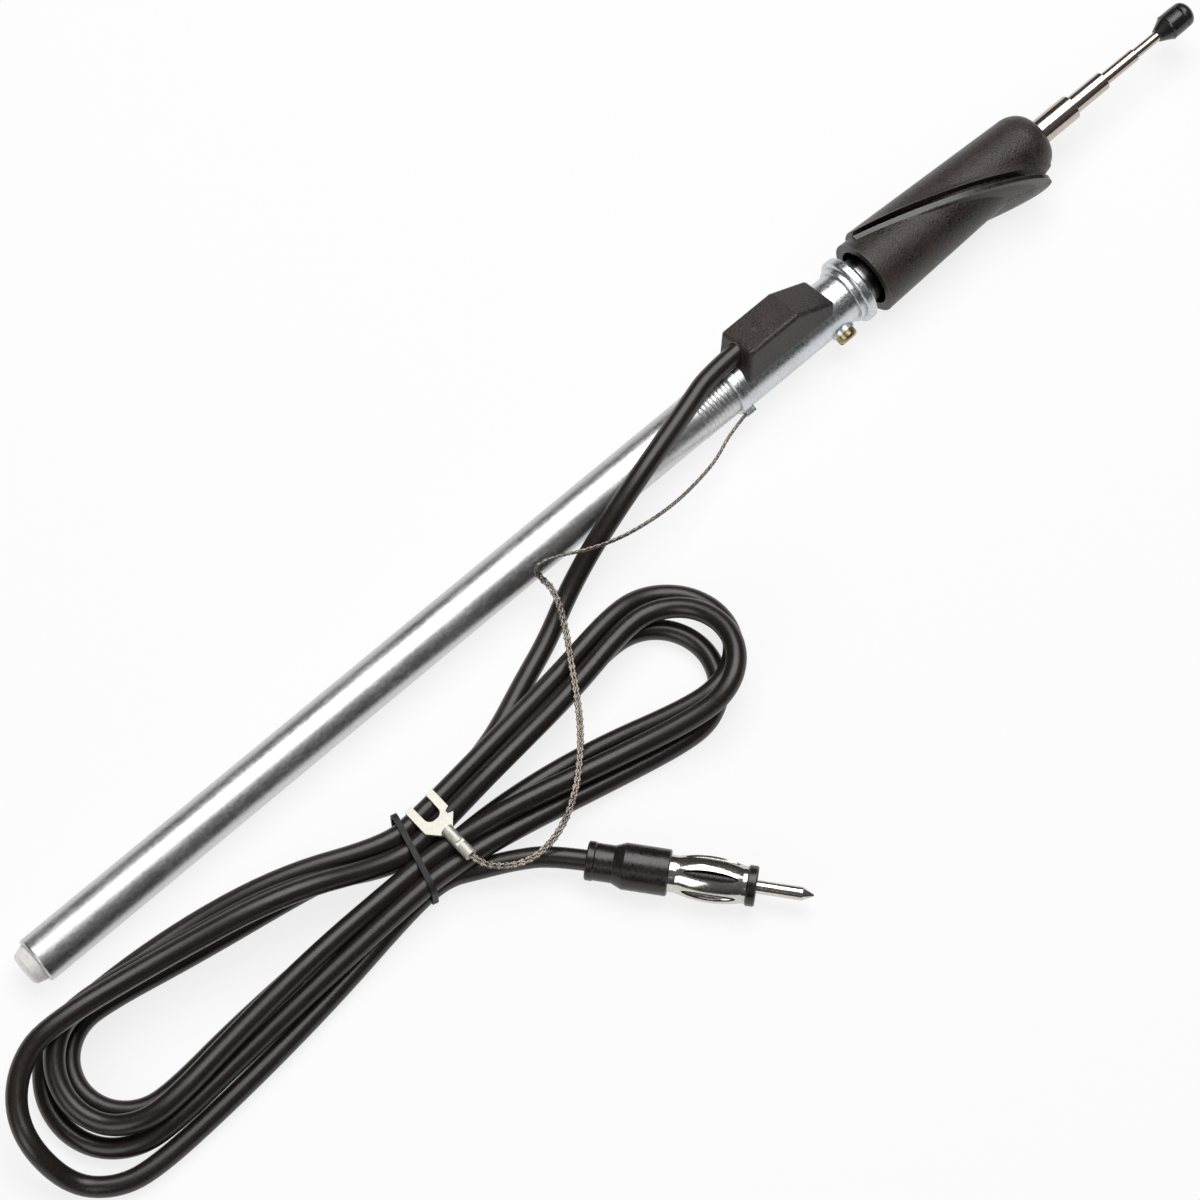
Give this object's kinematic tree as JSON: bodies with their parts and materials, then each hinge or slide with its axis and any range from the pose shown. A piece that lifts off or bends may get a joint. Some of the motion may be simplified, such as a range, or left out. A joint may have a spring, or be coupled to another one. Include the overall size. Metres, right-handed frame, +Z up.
{
  "type": "car mast aerial",
  "caption": "Telescopic car wing aerial with a slanted two-part black head, die-cast clamp body, aluminium tube, tied coaxial cable with an aerial plug, and an earth braid with a fork.",
  "frame": {"origin": "bottom centre of the box of the aerial without its cords, on the floor it lies on", "axes": "+X along the aerial toward the mast's knob, +Z up; the aerial's own axis rises a little toward the knob because the tube's rim and the wider head both rest on the floor"},
  "size_m": [0.4007, 0.1177, 0.0229],
  "materials": {
    "tube_aluminium": "satin drawn",
    "end_plug_nylon": "translucent nylon",
    "zinc_casting": "bright zinc plated die casting",
    "yellow_zinc": "yellow zinc plated",
    "black_moulding": "fine grained",
    "seal_black": "smooth glossy",
    "mast_chrome": "polished plating",
    "knob_black": "glossy",
    "cable_black": "semi-gloss jacket",
    "tie_black": "smooth",
    "plug_nickel": "nickel plated",
    "tinned_copper": "tinned braid",
    "fork_tin": "tinned",
    "contact_brass": "plain",
    "inner_nylon": "plain",
    "spring_steel": "plain"
  },
  "bodies": {
    "housing": {"protective_tube": "tube_aluminium", "tube_end_plug": "end_plug_nylon", "clamp_body": "zinc_casting", "clamp_screw": "yellow_zinc", "connector_block": "black_moulding", "insulating_bush": "inner_nylon", "contact_sleeve": "contact_brass", "contact_pin": "contact_brass", "neck_guide_bush": "inner_nylon", "head_sleeve": "black_moulding", "panel_seal": "seal_black", "head_cap": "black_moulding", "lock_spring": "spring_steel", "cable_feed": "cable_black", "cable_hank": "cable_black", "hank_tie": "tie_black", "cable_plug_lead": "cable_black", "plug_boot": "black_moulding", "plug_sleeve": "plug_nickel", "plug_insulator": "black_moulding", "plug_pin": "plug_nickel", "earth_braid": "tinned_copper", "fork_terminal": "fork_tin"},
    "mast_1": {"mast_section_1": "mast_chrome", "mast_foot_1": "inner_nylon"},
    "mast_2": {"mast_section_2": "mast_chrome", "mast_foot_2": "contact_brass"},
    "mast_3": {"mast_section_3": "mast_chrome", "mast_foot_3": "contact_brass"},
    "tip": {"tip_rod": "mast_chrome", "tip_rod_foot": "contact_brass", "tip_knob": "knob_black"}
  },
  "joints": [
    {"name": "section_1_slide", "type": "slide", "parent": "housing", "child": "mast_1", "axis": [0.9999, 0, 0.0154], "range_m": [-0.023, 0.17]},
    {"name": "section_2_slide", "type": "slide", "parent": "mast_1", "child": "mast_2", "axis": [0.9999, 0, 0.0154], "range_m": [-0.0109, 0.267]},
    {"name": "section_3_slide", "type": "slide", "parent": "mast_2", "child": "mast_3", "axis": [0.9999, 0, 0.0154], "range_m": [-0.0107, 0.262]},
    {"name": "tip_slide", "type": "slide", "parent": "mast_3", "child": "tip", "axis": [0.9999, 0, 0.0154], "range_m": [-0.0076, 0.256]}
  ]
}
